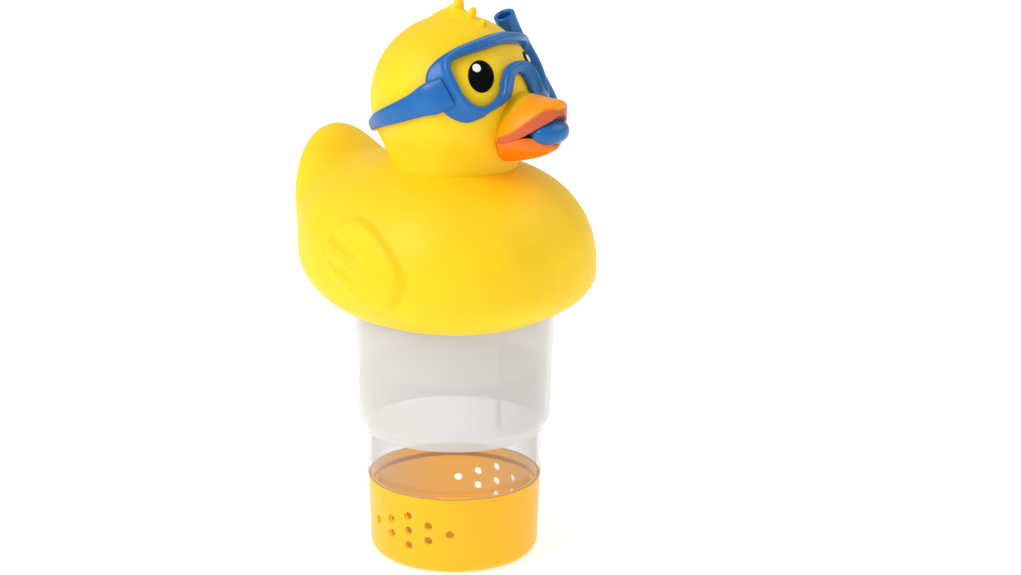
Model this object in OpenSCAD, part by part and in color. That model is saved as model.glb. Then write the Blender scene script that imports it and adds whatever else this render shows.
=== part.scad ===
// Floating chlorine dispenser: a duck-shaped float carries a telescoping tablet chamber
// with a turning flow cup at its lower end. Origin: centre of the cup's flat underside.
// The duck looks along +X, and its left side is +Y.

/* [Flow cup] */
// Height of the flow cup
cup_h = 28.6; // [28:0.1:29]
// Outer radius of the cup at its rim
cup_top_r = 31.4; // [31.2:0.1:31.8]
// Outer radius of the cup where its round bottom edge starts
cup_low_r = 30.6; // [30.2:0.1:31]
// Radius of the cup's round bottom edge
cup_edge_r = 4; // [3:0.5:5]
// Inner radius of the cup
cup_bore_r = 29.75; // [29.7:0.01:29.8]
// Diameter of a flow hole
hole_d = 3.1; // [2:0.1:3.6]
// Vertical distance between flow holes
hole_rise = 5.6; // [5:0.1:6]
// Angle between columns of flow holes, in degrees
hole_step = 14.5; // [12:0.5:16]
// Height of the middle flow hole
hole_z = 15.4; // [14:0.1:17]
// Direction of the cup's first group of holes at rest, in degrees from the duck's front
hole_turn = -83; // [-90:1:-70]

/* [Chamber] */
// Outer radius of the lower chamber near its flange
tube_r = 31.75; // [31.4:0.05:31.8]
// Outer radius of the lower chamber just above the cup
tube_low_r = 31.3; // [31:0.1:31.4]
// Height of the lower chamber's top rim
tube_top_z = 70; // [70:1:74]
// Outer radius of the upper chamber at its top
upper_r = 36; // [36:0.1:36.2]
// Outer radius of the upper chamber above its shoulder
shoulder_r = 35.1; // [35:0.1:35.3]
// Height of the upper chamber's lower lip
lip_z = 47; // [46:0.5:48]
// Wall of the upper chamber
upper_wall = 1.8; // [1.5:0.1:1.9]
// Number of guide ribs in the upper chamber
ribs = 3; // [2:1:6]

/* [Screw neck] */
// Outer radius of the threaded neck
neck_r = 34; // [33.8:0.1:34]
// Height of the neck's top rim
neck_top_z = 103; // [103:1:104]
// Rise of the thread in one whole turn
thread_lead = 12; // [12:1:14]
// Number of thread starts
thread_starts = 3; // [3:1:3]

/* [Duck] */
// Height of the widest part of the body
belly_z = 106.3; // [106:0.1:106.6]
// Reach of the breast ahead of the chamber axis
body_front = 49; // [48.5:0.5:51]
// Reach of the rump behind the chamber axis
body_rear = 57; // [56:0.5:58]
// Half the width of the body
body_side = 50.5; // [49.5:0.5:51.5]
// Height of the back above the widest part
body_rise = 40.5; // [40:0.5:41]
// Depth of the belly under the widest part
body_drop = 20.5; // [20:0.5:21]
// How far the rump is lifted at its rear end
rump_lift = 10; // [8:0.5:11]
// Wall of the hollow body and head
skin_t = 2.6; // [2.2:0.2:3]
// Radius of the head
head_r = 29.5; // [29.3:0.1:29.6]
// Height of the middle of the head
head_z = 166.5; // [166:0.5:167]
// Radius of the neck where the head meets the body
throat_r = 22.4; // [22:0.2:22.6]

/* [Hidden] */
$fn = 96;
clearance = 0.35;
duck_yellow = [0.98, 0.84, 0.18];
cup_yellow = [0.98, 0.76, 0.12];
milky = [0.85, 0.84, 0.80, 0.45];
mask_blue = [0.13, 0.42, 0.72];
beak_orange = [0.98, 0.55, 0.05];

// Lower chamber and cup
skirt_r = cup_bore_r - clearance;
skirt_low_z = 8;
skirt_bore_r = 27.9;
snap_z = 24.8;
snap_h = 0.7;
tube_bore_r = 30.2;
flange_r = tube_r + 1.35;
flange_h = 1.5;
flange_z = tube_top_z - flange_h;
bead_z = cup_h + 0.7;
bead_h = 1.8;
floor_t = 2.2;
ballast_r = 22;
ballast_h = 4;
cover_r = 24.2;
cover_t = 1.2;

// Upper chamber and its neck
lip_bore_r = tube_r + clearance;
shoulder_rise = 6;
upper_end_z = 92.6;
neck_bore_r = 32;
ridge_h = 1.5;
ridge_reach = 1.3;
ridge_arc = 100;
ridge_z = 98.6;
ridge_turn = 8;
base_ridge_turn = 3.5;
// Share of the thread's pitch by which the base's ridges lie under the neck's
ridge_drop = 0.45;

// Float base, which closes the belly
collar_r = 39.4;
collar_wall = 2.4;
collar_top_z = 108;
collar_low_z = 95.6;
belly_bore_r = upper_r + clearance + 0.05;
base_r = collar_r - clearance;
base_bore_r = upper_r + clearance;
base_low_z = 95.7;
gasket_t = 1.2;
plate_z = neck_top_z + gasket_t;
base_top_z = plate_z + 2.5;
seal_z = 99;
seal_r = 1;

// Tail: a rounded fan that rises behind the back
tail = [-51, 0, 123.5];
tail_size = [12.5, 21, 28];
tail_lean = 16;
star_centre = [-8, 0, 113];
seat_z = 142;
throat_bore_r = 19.4;

// Face: directions are [turn, lift] in degrees, seen from the middle of the head
head_centre = [0, 0, head_z];
eye_turn = 31;
eye_lift = 24;
mask_in_r = head_r + 0.05;
mask_out_r = head_r + 4;
strap_out_r = head_r + 2;
snorkel_r = 3.9;
snorkel_bore_r = 2.7;
mask_rim = [[0, 53], [18, 52], [38, 47.5], [53, 42], [65, 34.5], [71, 26], [70, 16], [62, 5], [54, -2.5],
    [44, -6.2], [35, -4], [26, 0.8], [17.5, 4.5], [11, 8.5], [7.8, 15], [5, 20.5], [0, 22.3]];
mask_window = [[0, 44.7], [15, 43.3], [30, 41], [42, 38.3], [50, 35.6], [53.4, 31.5], [52, 26], [48, 18],
    [44, 11], [38, 5.8], [31, 4.3], [24.5, 7.5], [20, 12], [17.3, 20], [11.5, 27.3], [5.5, 29.7], [0, 30.2]];
strap_upper = [[72.5, 18], [83, 10.5], [96, 3.5], [114, -4.6], [133, -13], [156, -20], [180, -22.5]];
strap_lower = [[61, -0.5], [72, -3], [90, -8.8], [111, -15], [131, -20.5], [156, -25], [180, -27]];
snorkel_route = [[0.5, 26.5, 195.5], [1.2, 31, 187], [3.6, 34.6, 179], [7.6, 36.6, 171], [14.4, 35, 163.5],
    [21, 29.8, 158.6], [28, 21.2, 157.4], [34, 13.2, 158.4], [39, 7, 160]];
bulb_centre = [41.6, 0, 160.3];
bulb_size = [6, 8.2, 4.7];

// ---- Shared shapes -------------------------------------------------------------------

// Middle of a list of points
function middle(points) = [for (k = [0:2])
    let (v = [for (p = points) p[k]]) v * [for (p = v) 1] / len(v)];

// Closed skin over a stack of rings that all have the same number of points
module skin(rings) {
    n = len(rings[0]);
    last = len(rings) - 1;
    top = 1 + n * len(rings);
    points = concat([middle(rings[0])], [for (ring = rings) each ring], [middle(rings[last])]);
    faces = concat(
        [for (s = [0:n - 1]) [0, 1 + s, 1 + (s + 1) % n]],
        [for (r = [0:last - 1], s = [0:n - 1], half = [0, 1])
            let (a = 1 + r * n + s, b = 1 + r * n + (s + 1) % n)
            half == 0 ? [a, a + n, b + n] : [a, b + n, b]],
        [for (s = [0:n - 1]) [top, top - n + (s + 1) % n, top - n + s]]);
    polyhedron(points, faces, convexity = 6);
}

// Closed hoop: the last section joins the first
module hoop(sections) {
    n = len(sections[0]);
    count = len(sections);
    faces = [for (r = [0:count - 1], s = [0:n - 1], half = [0, 1])
        let (next = (r + 1) % count, a = r * n + s, b = r * n + (s + 1) % n, c = next * n + s,
            d = next * n + (s + 1) % n)
        half == 0 ? [a, c, d] : [a, d, b]];
    polyhedron([for (section = sections) each section], faces, convexity = 6);
}

// Point number t on a smooth line through a list of points; closed lines run on from their start
function smooth(points, t, closed = false) = let (
    n = len(points), i = floor(t), f = t - i,
    pick = function (k) closed ? points[(k + n) % n] : points[max(0, min(n - 1, k))],
    a = pick(i - 1), b = pick(i), c = pick(i + 1), d = pick(i + 2))
    b + 0.5 * f * (c - a + f * (2 * a - 5 * b + 4 * c - d + f * (3 * (b - c) + d - a)));

// Round tube along a path, with one radius for each point of the path
module sweep(path, radii, side_up = [1, 0, 0], sides = 14) {
    last = len(path) - 1;
    skin([for (i = [0:last])
        let (run = path[min(i + 1, last)] - path[max(i - 1, 0)], ahead = run / norm(run),
            across = cross(ahead, side_up), u = across / norm(across), v = cross(ahead, u))
        [for (s = [0:sides - 1])
            let (a = 360 * s / sides) path[i] + radii[i] * (u * cos(a) + v * sin(a))]]);
}

// Point at fraction t along a smooth curve through four control points
function curve(a, b, c, d, t) =
    a * pow(1 - t, 3) + b * 3 * t * pow(1 - t, 2) + c * 3 * t * t * (1 - t) + d * pow(t, 3);

// Helical ridges on a cylinder: root and tip are radii, and tip may lie inside root
module ridges(root, tip, low_z, first_turn) {
    slope = thread_lead / 360;
    steps = 12;
    flip = tip > root ? 1 : -1;
    for (start = [0:thread_starts - 1]) {
        skin([for (i = [0:steps])
            let (swing = ridge_arc * i / steps, turn = first_turn + swing + 360 * start / thread_starts,
                z = low_z + slope * swing, out = [cos(turn), sin(turn), 0], half = flip * ridge_h / 2)
            [out * root + [0, 0, z - half], out * root + [0, 0, z + half],
                out * tip + [0, 0, z + half / 2], out * tip + [0, 0, z - half / 2]]]);
    }
}

// Flow holes in a 1-2-3-2-1 diamond, in two groups on opposite sides; turn places the first group
module flow_holes(turn) {
    for (side = [0, 180], column = [-2:2], row = [0:2 - abs(column)]) {
        rise = (row - (2 - abs(column)) / 2) * hole_rise;
        rotate([0, 0, turn + side + column * hole_step]) translate([20, 0, hole_z + rise])
            rotate([0, 90, 0]) cylinder(d = hole_d, h = 15, $fn = 32);
    }
}

// ---- Chamber -------------------------------------------------------------------------

module flow_cup() {
    groove_r = cup_bore_r + snap_h;
    color(cup_yellow) difference() {
        rotate_extrude() polygon(concat(
            [[0, 0]],
            [for (a = [-90:15:0]) [cup_low_r + cup_edge_r * (cos(a) - 1), cup_edge_r * (1 + sin(a))]],
            [[cup_top_r, cup_h], [cup_bore_r, cup_h], [cup_bore_r, snap_z + 1],
                [groove_r, snap_z + 0.8], [groove_r, snap_z - 0.8], [cup_bore_r, snap_z - 1],
                [cup_bore_r, 6], [27, floor_t], [0, floor_t]]));
        flow_holes(hole_turn);
    }
}

module ballast_disc() {
    color("dimgray") translate([0, 0, floor_t]) cylinder(r = ballast_r, h = ballast_h);
}

module ballast_cover() {
    top_z = floor_t + ballast_h + cover_t;
    color(cup_yellow) rotate_extrude() polygon([[0, top_z - cover_t],
        [ballast_r + 0.4, top_z - cover_t], [ballast_r + 0.4, floor_t], [cover_r, floor_t],
        [cover_r, top_z - 1], [cover_r - 1, top_z], [0, top_z]]);
}

module lower_chamber() {
    snap_r = skirt_r + snap_h;
    color(milky) difference() {
        rotate_extrude() polygon([[skirt_bore_r, skirt_low_z], [skirt_r - 0.5, skirt_low_z],
            [skirt_r, skirt_low_z + 1], [skirt_r, snap_z - 0.8], [snap_r, snap_z - 0.5],
            [snap_r, snap_z + 0.5], [skirt_r, snap_z + 0.8], [skirt_r, cup_h + 0.2],
            [tube_low_r, cup_h + 0.2], [tube_low_r + 0.6, bead_z], [tube_low_r + 0.6, bead_z + bead_h],
            [tube_low_r, bead_z + bead_h + 0.5], [tube_r, flange_z - 3], [tube_r, flange_z],
            [flange_r, flange_z], [flange_r, tube_top_z - 0.4], [flange_r - 0.4, tube_top_z],
            [tube_bore_r, tube_top_z], [tube_bore_r, cup_h + 4], [skirt_bore_r, cup_h + 1]]);
        flow_holes(hole_turn + 90);
    }
}

// One guide rib, standing between the chamber wall and the lower chamber
module rib() {
    inner_r = lip_bore_r + 0.2;
    low_z = lip_z + shoulder_rise + 2;
    translate([inner_r, -0.8, low_z]) cube([shoulder_r - upper_wall / 2 - inner_r, 1.6, flange_z - low_z]);
}

module upper_chamber() {
    arc_r = shoulder_rise - 1.5;
    color(milky) union() {
        rotate_extrude() polygon(concat(
            [[lip_bore_r, lip_z], [lip_bore_r + 0.5, lip_z]],
            [for (a = [-45:15:0])
                [shoulder_r + arc_r * (cos(a) - 1), lip_z + shoulder_rise + arc_r * sin(a)]],
            [[upper_r, upper_end_z - 7], [upper_r, upper_end_z], [neck_r, upper_end_z],
                [neck_r, neck_top_z], [neck_bore_r, neck_top_z], [neck_bore_r, upper_end_z - 1],
                [upper_r - upper_wall, upper_end_z - 4],
                [shoulder_r - upper_wall, lip_z + shoulder_rise + 1],
                [lip_bore_r + 0.4, lip_z + 3], [lip_bore_r, lip_z + 2]]));
        for (i = [0:ribs - 1]) {
            rotate([0, 0, hole_turn + 60 + i * 360 / ribs]) rib();
        }
        ridges(neck_r - 0.8, neck_r + ridge_reach, ridge_z, ridge_turn);
    }
}

module chamber_gasket() {
    color("gainsboro") translate([0, 0, neck_top_z]) difference() {
        cylinder(r = neck_r, h = gasket_t);
        translate([0, 0, -1]) cylinder(r = neck_bore_r - 0.5, h = gasket_t + 2);
    }
}

module float_base() {
    groove_r = collar_r - 2 * seal_r - 0.1;
    low_z = ridge_z + thread_lead * ((base_ridge_turn - ridge_turn) / 360 - ridge_drop / thread_starts);
    color(duck_yellow) union() {
        rotate_extrude() polygon([[base_bore_r, base_low_z], [base_r - 0.6, base_low_z],
            [base_r, base_low_z + 0.6], [base_r, seal_z - 1.2], [groove_r, seal_z - 1.2],
            [groove_r, seal_z + 1.2], [base_r, seal_z + 1.2], [base_r, base_top_z], [0, base_top_z],
            [0, plate_z], [base_bore_r, plate_z]]);
        ridges(base_bore_r + 0.5, neck_r + 0.7, low_z, base_ridge_turn);
    }
}

module float_seal() {
    color("black") rotate_extrude()
        translate([collar_r - seal_r - 0.05, seal_z]) circle(r = seal_r, $fn = 24);
}

// ---- Duck body and head --------------------------------------------------------------

function aim(turn, lift) = [cos(lift) * cos(turn), cos(lift) * sin(turn), sin(lift)];

// How far a point lies from the middle of the plump body: 1 is on its surface
function plump(p, grow) = let (
    bend = 2.26,
    reach = (p.x > 0 ? body_front : body_rear) + grow,
    mid_z = belly_z + rump_lift * pow(max(-p.x, 0) / body_rear, 2),
    tall = (p.z > mid_z ? body_rise : body_drop) + grow)
    pow(pow(abs(p.x) / reach, bend) + pow(abs(p.y) / (body_side + grow), bend)
        + pow(abs(p.z - mid_z) / tall, bend), 1 / bend);

// Distance from the centre to the surface along one direction, by halving the gap
function reach(dir, grow, low, high, tries) = let (mid = (low + high) / 2)
    tries == 0 ? mid : plump(star_centre + dir * mid, grow) < 1
        ? reach(dir, grow, mid, high, tries - 1) : reach(dir, grow, low, mid, tries - 1);

module plump_body(grow, sides, step) {
    skin([for (lift = [-84:step:84]) [for (s = [0:sides - 1])
        let (dir = aim(360 * s / sides, lift)) star_centre + dir * reach(dir, grow, 5, 120, 16)]]);
}

module tail_fan() {
    sides = 24;
    translate(tail) rotate([0, -tail_lean, 0]) skin([for (lift = [-84:12:84]) [for (s = [0:sides - 1])
        let (dir = aim(360 * s / sides, lift))
        [dir.x * tail_size.x, dir.y * tail_size.y, dir.z * tail_size.z]]]);
}

module body_shell() {
    color(duck_yellow) difference() {
        union() {
            difference() {
                union() {
                    plump_body(0, 44, 8);
                    tail_fan();
                }
                plump_body(-skin_t, 28, 12);
            }
            translate([0, 0, collar_low_z])
                cylinder(r = collar_r + collar_wall, h = collar_top_z - collar_low_z);
        }
        translate([0, 0, collar_low_z]) cylinder(r = collar_r, h = 24);
        translate([0, 0, 80]) cylinder(r = belly_bore_r, h = 20);
        translate([0, 0, 130]) cylinder(r = throat_bore_r + 0.3, h = 20);
        translate([0, 0, seat_z]) cylinder(r = throat_r + 0.4, h = 20);
    }
}

// Curls of the feather tuft on the crown: each is a base, two bends, a tip and a thickness
function curls() = [
    [[-6, 2, 192], [0, 0, 198], [6, 0, 196], [1, -1, 204.4], 3.0],
    [[-2, -2, 193], [3, -2, 197], [9, -1, 196], [7.5, -2, 200.6], 2.4],
    [[2, -1, 192], [7, -1, 196], [12, 0, 194], [12, 0, 197.4], 1.8]];

module head_shell() {
    color(duck_yellow) difference() {
        union() {
            translate(head_centre) sphere(r = head_r);
            translate([0, 0, seat_z]) cylinder(r = throat_r, h = 8);
            translate([0, 0, seat_z - 5]) cylinder(r = throat_bore_r, h = 12);
            for (c = curls()) {
                sweep([for (t = [0:0.125:1]) curve(c[0], c[1], c[2], c[3], t)],
                    [for (t = [0:0.125:1]) c[4] * (1 - 0.7 * t)], [0, 1, 0], 10);
            }
        }
        translate(head_centre) sphere(r = head_r - skin_t);
        translate([0, 0, seat_z - 10]) cylinder(r = throat_bore_r - skin_t, h = 20);
    }
}

// ---- Beak ----------------------------------------------------------------------------

// One half of the beak, a stack of half-round sections along X.
// Each station is [x, half width, height of the crown, height of the mouth line]
module bill(stations) {
    color(beak_orange) difference() {
        skin([for (s = stations) [for (a = [0:15:345])
            let (rise = s[2] - s[3], up = sin(a))
            [s[0], s[1] * cos(a), s[3] + rise * (up > 0 ? up : -up * 0.15)]]]);
        translate(head_centre) sphere(r = head_r + 0.02);
        bulb(0.1);
        snorkel_pipe(0.1);
    }
}

module upper_bill() {
    bill([[20, 5, 172.5, 156.8], [24, 7.5, 172.5, 156.6], [27, 10, 172.4, 156.3], [30, 12.6, 172.3, 156.4],
        [34, 12.8, 172.2, 157.4], [38, 11.6, 171.8, 159], [42, 8.8, 171.4, 161.8], [45, 4.6, 171.2, 164.8],
        [46.6, 1.5, 170.4, 166.8]]);
}

module lower_bill() {
    bill([[20, 5, 147.8, 155.8], [24, 7.5, 148, 155.9], [27, 9.8, 148.2, 156], [30, 11.8, 148.8, 156.1],
        [34, 11.2, 149.8, 157], [38, 9.2, 151, 157.8], [41, 6.8, 152.4, 157.2], [43.5, 4, 153.8, 156.4],
        [45, 1.5, 154.8, 155.8]]);
}

// ---- Mask and snorkel ----------------------------------------------------------------

// One side of a face outline and its mirror image, as one closed loop
function both_sides(half) = concat(half, [for (i = [len(half) - 2:-1:1]) [-half[i].x, half[i].y]]);

function face_point(loop, share, r) = let (d = smooth(loop, share * len(loop), true))
    head_centre + r * aim(d.x, d.y);

module mask_frame() {
    stations = 72;
    rim = both_sides(mask_rim);
    window = both_sides(mask_window);
    root_r = head_r - 0.6;
    color(mask_blue) difference() {
        hoop([for (i = [0:stations - 1]) let (share = i / stations)
            [face_point(rim, share, root_r), face_point(window, share, root_r),
                face_point(window, share, mask_out_r), face_point(rim, share, mask_out_r)]]);
        translate(head_centre) sphere(r = mask_in_r);
    }
}

// One cross-section of the strap, at a place from 0 at the mask to 1 behind the head
function strap_section(place, side) = let (
    t = place * (len(strap_upper) - 1),
    high = smooth(strap_upper, t),
    low = smooth(strap_lower, t),
    spots = [for (w = [0:3]) [w / 3, strap_out_r], for (w = [3:-1:0]) [w / 3, head_r + 0.12]])
    [for (spot = spots) let (way = low + (high - low) * spot[0], d = spot[1] * aim(way.x, way.y))
        head_centre + [d.x, d.y * side, d.z]];

module mask_strap() {
    steps = 20;
    color(mask_blue) skin(concat([for (i = [0:steps]) strap_section(i / steps, 1)],
        [for (i = [steps - 1:-1:0]) strap_section(i / steps, -1)]));
}

// Bulb that the beak holds
module bulb(grow) {
    skin([for (lift = [-75:15:75]) [for (s = [0:23])
        let (dir = aim(15 * s, lift))
        bulb_centre + [for (k = [0:2]) (bulb_size[k] + grow) * dir[k]]]]);
}

// Solid pipe along the snorkel's route, a little thinner towards the mouth
module snorkel_pipe(grow) {
    steps = 3;
    last = (len(snorkel_route) - 1) * steps;
    sweep([for (i = [0:last]) smooth(snorkel_route, i / steps)],
        [for (i = [0:last]) snorkel_r + grow - 0.7 * pow(i / last, 2)], [1, 0, 0], 18);
}

module snorkel_tube() {
    top = snorkel_route[0];
    ahead = smooth(snorkel_route, 1 / 3) - top;
    color(mask_blue) difference() {
        snorkel_pipe(0);
        sweep([top - ahead, top + ahead * 1.5], [snorkel_bore_r, snorkel_bore_r], [1, 0, 0], 18);
        bulb(0.05);
    }
}

module snorkel_mouthpiece() {
    color(mask_blue) bulb(0);
}

// ---- Eyes ----------------------------------------------------------------------------

// Thin oval shell on the head, turned by tilt about the direction it faces
module eye_oval(from_r, to_r, wide, tall, turn, lift, tilt) {
    translate(head_centre) intersection() {
        difference() {
            sphere(r = to_r);
            sphere(r = from_r);
        }
        rotate([0, 0, turn]) rotate([0, 90 - lift, 0]) rotate([0, 0, tilt])
            linear_extrude(50) scale([tall / wide, 1]) circle(r = wide, $fn = 32);
    }
}

module eye(side) {
    color("black") eye_oval(head_r + 0.02, head_r + 0.5, 4.8, 5.9, side * eye_turn, eye_lift, -side * 8);
}

module glint(turn) {
    color("white") eye_oval(head_r + 0.52, head_r + 0.8, 1.5, 1.5, turn, eye_lift + 5.5, 0);
}

module left_eye() { eye(1); }
module right_eye() { eye(-1); }
module left_glint() { glint(eye_turn - 1.5); }
module right_glint() { glint(-eye_turn - 3); }

flow_cup();
ballast_disc();
ballast_cover();
lower_chamber();
upper_chamber();
chamber_gasket();
float_base();
float_seal();
body_shell();
head_shell();
upper_bill();
lower_bill();
mask_frame();
mask_strap();
snorkel_tube();
snorkel_mouthpiece();
left_eye();
right_eye();
left_glint();
right_glint();
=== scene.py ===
"""Looks of the floating chlorine dispenser: duck float, diving mask, telescoping chamber and flow cup.

Lengths in this script are millimetres in the CAD frame; make_mesh turns them into metres.
"""
import math

import bpy
import numpy as np
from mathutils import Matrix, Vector


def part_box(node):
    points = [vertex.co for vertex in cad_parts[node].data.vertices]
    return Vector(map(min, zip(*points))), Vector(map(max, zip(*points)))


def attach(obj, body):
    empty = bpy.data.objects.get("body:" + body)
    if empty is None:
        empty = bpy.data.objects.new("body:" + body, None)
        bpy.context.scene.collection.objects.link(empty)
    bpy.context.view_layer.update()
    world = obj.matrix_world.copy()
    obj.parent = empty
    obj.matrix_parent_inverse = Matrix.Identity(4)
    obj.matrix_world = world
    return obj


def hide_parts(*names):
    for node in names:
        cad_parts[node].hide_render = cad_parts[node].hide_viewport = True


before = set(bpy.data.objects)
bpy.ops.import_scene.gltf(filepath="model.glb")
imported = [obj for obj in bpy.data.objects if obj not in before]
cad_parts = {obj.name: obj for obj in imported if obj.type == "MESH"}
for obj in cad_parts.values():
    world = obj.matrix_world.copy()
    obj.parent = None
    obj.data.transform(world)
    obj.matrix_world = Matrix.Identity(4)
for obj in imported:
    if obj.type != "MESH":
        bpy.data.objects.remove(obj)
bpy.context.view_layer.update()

MM = 0.001


def node_points(node):
    """All corner points of a CAD node, in millimetres."""
    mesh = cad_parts[node].data
    return np.array([v.co for v in mesh.vertices]) / MM


# ---- Driving sizes, read from the frame ------------------------------------------------

head_points = node_points("head_shell")
HEAD_R = -head_points[:, 0].min()
HEAD = np.array([0, 0, head_points[np.argmin(head_points[:, 0]), 2]])
BELLY_BORE_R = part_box("upper_chamber")[1].x / MM + 0.4
FLOAT_TOP_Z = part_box("float_base")[1].z / MM

# Flow holes: the direction of the cup's first group, the step from column to column in degrees,
# the step from row to row, and the middle row's height
HOLE_TURN = -83
HOLE_STEP = 14.5
HOLE_RISE = 5.6
HOLE_Z = 15.4
HOLE_R = 1.55

# Lower chamber: a skirt inside the cup, a bead above the cup's rim, and a tube with a top flange
LOWER_LOW_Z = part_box("lower_chamber")[0].z / MM
SKIRT_R = 29.4
SKIRT_BORE_R = 27.9
SNAP_R = 30.1
BEAD_LOW_Z = 28.8
BEAD_R = 31.9
TUBE_LOW_R = 31.3
TUBE_TOP_R = 31.75
TUBE_BORE_R = 30.2
TUBE_TOP_Z = 70
FLANGE_R = 33.1
FLANGE_LOW_Z = 68.5

# Upper chamber: a turned-in lip, a round shoulder over it, a wall, and a neck with three ridges
LIP_R = 32.1
LIP_Z = 47
SHOULDER_R = 35.1
SHOULDER_Z = 53
SHOULDER_BEND_R = 4.5
WALL_TOP_R = 36
WALL_TOP_Z = 92.6
CHAMBER_NECK_R = 34
CHAMBER_NECK_BORE_R = 32
CHAMBER_NECK_TOP_Z = 103
RIB_R = (32.4, 34.2)
RIB_Z = (55, 68.5)
RIB_HALF_W = 0.6
RIDGE_R = (33.5, 35.3)
RIDGE_HALF_H = (0.75, 0.375)
RIDGE_Z = 98.6
RIDGE_TURN = 8
RIDGE_ARC = 100
THREAD_LEAD = 12

# Body: a plump oval whose rump lifts towards the rear, and a fan-shaped tail
BODY_FRONT = 49.0
BODY_SIDE = 49.2
BODY_REAR = 56.8
BELLY_Z = 106.3
BODY_RISE = 40.5
BODY_DROP = 20.5
BODY_BEND = 2.26
RUMP_LIFT = 10.0
TAIL = np.array([-50.5, 0, 123.5])
TAIL_SIZE = np.array([12.5, 21.0, 28.0])
TAIL_LEAN = math.radians(16)
STAR_CENTRE = np.array([-8.0, 0, 113.0])
FILLET_SHARPNESS = 7

# Wing, in the side view (x, z): a tilted lobe, and two grooves that part its three feathers
WING_MIDDLE = (-1.6, 115.6)
WING_SIZE = (18.2, 11.6)
WING_TILT = math.radians(-31)
WING_BEND = 2.3
WING_RISE = 1.9
GROOVE_HALF_W = 1.5
GROOVES = [((-19, 123.4), (5, 114.6), 1.6), ((-19, 114.6), (1, 110.2), 1.5)]

# Neck of the head, where it flares out from the body into the round of the head
NECK_R = 22.4
NECK_LOW_Z = 138
NECK_JOIN_LIFT = -28

# Face outlines as (turn, lift) in degrees, seen from the middle of the head
MASK_RIM = [(0, 53), (18, 52), (38, 47.5), (53, 42), (65, 34.5), (71, 26), (70, 16), (62, 5),
            (54, -2.5), (44, -6.2), (35, -4), (26, 0.8), (17.5, 4.5), (11, 8.5), (7.8, 15), (5, 20.5),
            (0, 22.3)]
MASK_WINDOW = [(0, 44.7), (15, 43.3), (30, 41), (42, 38.3), (50, 35.6), (53.4, 31.5), (52, 26),
               (48, 18), (44, 11), (38, 5.8), (31, 4.3), (24.5, 7.5), (20, 12), (17.3, 20),
               (11.5, 27.3), (5.5, 29.7), (0, 30.2)]
STRAP_UPPER = [(60.5, 23.5), (72.5, 18), (83, 10.5), (96, 3.5), (114, -4.6), (133, -13), (156, -20),
               (180, -22.5)]
STRAP_LOWER = [(49.5, 5), (61, -0.5), (72, -3), (90, -8.8), (111, -15), (131, -20.5), (156, -25),
               (180, -27)]
EYE_TURN = 31
EYE_LIFT = 24
EYE_SIZE = (4.8, 5.9)
EYE_TILT = 8
GLINT_R = 1.5

# Snorkel, on the duck's left side, and the bulb in the beak
SNORKEL_ROUTE = [(0.64, 27.4, 193.8), (1.2, 31, 187), (3.6, 34.6, 179), (7.6, 36.6, 171),
                 (14.4, 35, 163.5), (21, 29.8, 158.6), (28, 21.2, 157.4), (34, 13.2, 158.4), (39, 7, 160)]
SNORKEL_R = 3.9
SNORKEL_TAPER = 0.7
SNORKEL_BORE_R = 2.6
BULB_CENTRE = np.array([41.6, 0, 160.3])
BULB_SIZE = np.array([6, 8.2, 4.7])

# Camera: it stands off the duck's right front side, a little above it
CAMERA_AZIMUTH = 39.0
CAMERA_LIFT = 14.5
CAMERA_DISTANCE = 800.0
CAMERA_AIM_Z = 106.3
CAMERA_LENS = 78.7
CAMERA_SHIFT = (0.0551, -0.0213)


# ---- Mesh helpers ----------------------------------------------------------------------

def aim(turn, lift):
    """Unit direction for a turn about +Z and a lift above the horizon, in degrees."""
    turn, lift = np.radians(turn), np.radians(lift)
    level = np.cos(lift)
    return np.stack([level * np.cos(turn), level * np.sin(turn), np.sin(lift) + 0 * turn], -1)


def out_and_across(turn):
    """Level unit directions out from the Z axis and square to that, for a turn in degrees."""
    out = aim(np.array(turn, float), np.array(0.0))
    return out, np.array([-out[1], out[0], 0])


def smoothstep(low, high, x):
    t = np.clip((x - low) / (high - low), 0, 1)
    return t * t * (3 - 2 * t)


def smooth_line(points, t, closed=False):
    """Catmull-Rom line through points at places t, one unit per point."""
    p = np.asarray(points, float)
    n = len(p)
    i = np.floor(t).astype(int)
    f = (t - i)[:, None]

    def pick(k):
        return p[k % n] if closed else p[np.clip(k, 0, n - 1)]

    a, b, c, d = pick(i - 1), pick(i), pick(i + 1), pick(i + 2)
    return b + 0.5 * f * (c - a + f * (2 * a - 5 * b + 4 * c - d + f * (3 * (b - c) + d - a)))


def make_mesh(name, points, faces, smooth=True):
    mesh = bpy.data.meshes.new(name)
    mesh.from_pydata((np.asarray(points) * MM).tolist(), [], faces)
    mesh.validate()
    mesh.update()
    if smooth:
        mesh.shade_smooth()
    obj = bpy.data.objects.new(name, mesh)
    bpy.context.scene.collection.objects.link(obj)
    return obj


def ring_faces(rings, sides, closed=False):
    faces = []
    for r in range(rings if closed else rings - 1):
        for s in range(sides):
            a, b = r * sides + s, r * sides + (s + 1) % sides
            c, d = (r + 1) % rings * sides + s, (r + 1) % rings * sides + (s + 1) % sides
            faces.append((a, b, d, c))
    return faces


def skin(name, rings):
    """Closed surface over a stack of rings with the same number of points, capped at both ends."""
    rings = np.asarray(rings, float)
    count, sides = rings.shape[:2]
    points = np.concatenate([rings.reshape(-1, 3), [rings[0].mean(0)], [rings[-1].mean(0)]])
    first, last = count * sides, count * sides + 1
    faces = ring_faces(count, sides)
    faces += [(first, (s + 1) % sides, s) for s in range(sides)]
    base = (count - 1) * sides
    faces += [(last, base + s, base + (s + 1) % sides) for s in range(sides)]
    return make_mesh(name, points, faces)


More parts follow.
